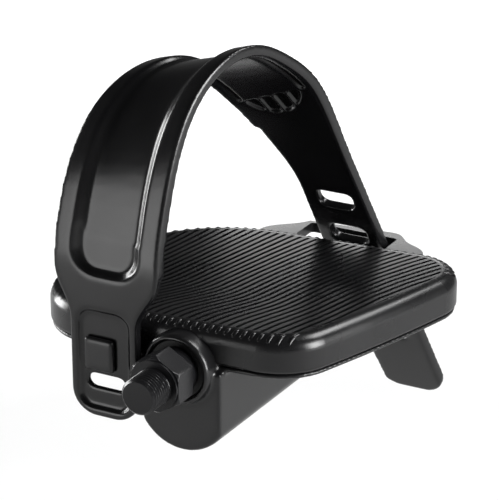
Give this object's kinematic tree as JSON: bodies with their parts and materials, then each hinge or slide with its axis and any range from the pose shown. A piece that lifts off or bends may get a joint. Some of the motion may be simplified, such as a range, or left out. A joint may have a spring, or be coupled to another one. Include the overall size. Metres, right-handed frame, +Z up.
{
  "type": "toe clip pedal",
  "caption": "Right foot pedal with a wavy ribbed tread, a weighted keel and a moulded strap that arches over the foot and passes through a side loop.",
  "frame": {"origin": "on the spindle's axis, in the plane of the shoulder that seats on the crank", "axes": "+Y along the spindle away from the crank, +Z up out of the tread, toes towards -X"},
  "size_m": [0.1224, 0.1669, 0.1606],
  "materials": {
    "spindle_steel": "satin",
    "bearing_steel": "polished",
    "seal_rubber": "matte",
    "housing_plastic": "satin",
    "tread_plastic": "satin",
    "strap_plastic": "satin",
    "weight_iron": "matte",
    "screw_steel": "satin"
  },
  "bodies": {
    "spindle": {"spindle": "spindle_steel", "near_inner_race": "bearing_steel", "far_inner_race": "bearing_steel", "washer": "bearing_steel", "lock_nut": "bearing_steel"},
    "pedal": {"base_housing": "housing_plastic", "tread_cover": "tread_plastic", "strap": "strap_plastic", "counterweight": "weight_iron", "keel_plug": "housing_plastic", "end_cap": "housing_plastic", "near_outer_race": "bearing_steel", "far_outer_race": "bearing_steel", "retaining_ring": "bearing_steel", "axle_seal": "seal_rubber", "cover_screw_1": "screw_steel", "cover_screw_2": "screw_steel", "cover_screw_3": "screw_steel", "cover_screw_4": "screw_steel", "cover_screw_5": "screw_steel", "cover_screw_6": "screw_steel"},
    "near_roller_set": {"near_rollers": "bearing_steel"},
    "far_roller_set": {"far_rollers": "bearing_steel"}
  },
  "joints": [
    {"name": "pedal_spin", "type": "hinge", "parent": "spindle", "child": "pedal", "pos_m": [0, 0.05, 0], "axis": [0, 1, 0], "continuous": true},
    {"name": "near_roller_spin", "type": "hinge", "parent": "spindle", "child": "near_roller_set", "pos_m": [0, 0.02075, 0], "axis": [0, 1, 0], "continuous": true},
    {"name": "far_roller_spin", "type": "hinge", "parent": "spindle", "child": "far_roller_set", "pos_m": [0, 0.08875, 0], "axis": [0, 1, 0], "continuous": true}
  ],
  "couplings": [
    {"joint": "near_roller_spin", "follows": "pedal_spin", "ratio": 0.569},
    {"joint": "far_roller_spin", "follows": "pedal_spin", "ratio": 0.575}
  ]
}
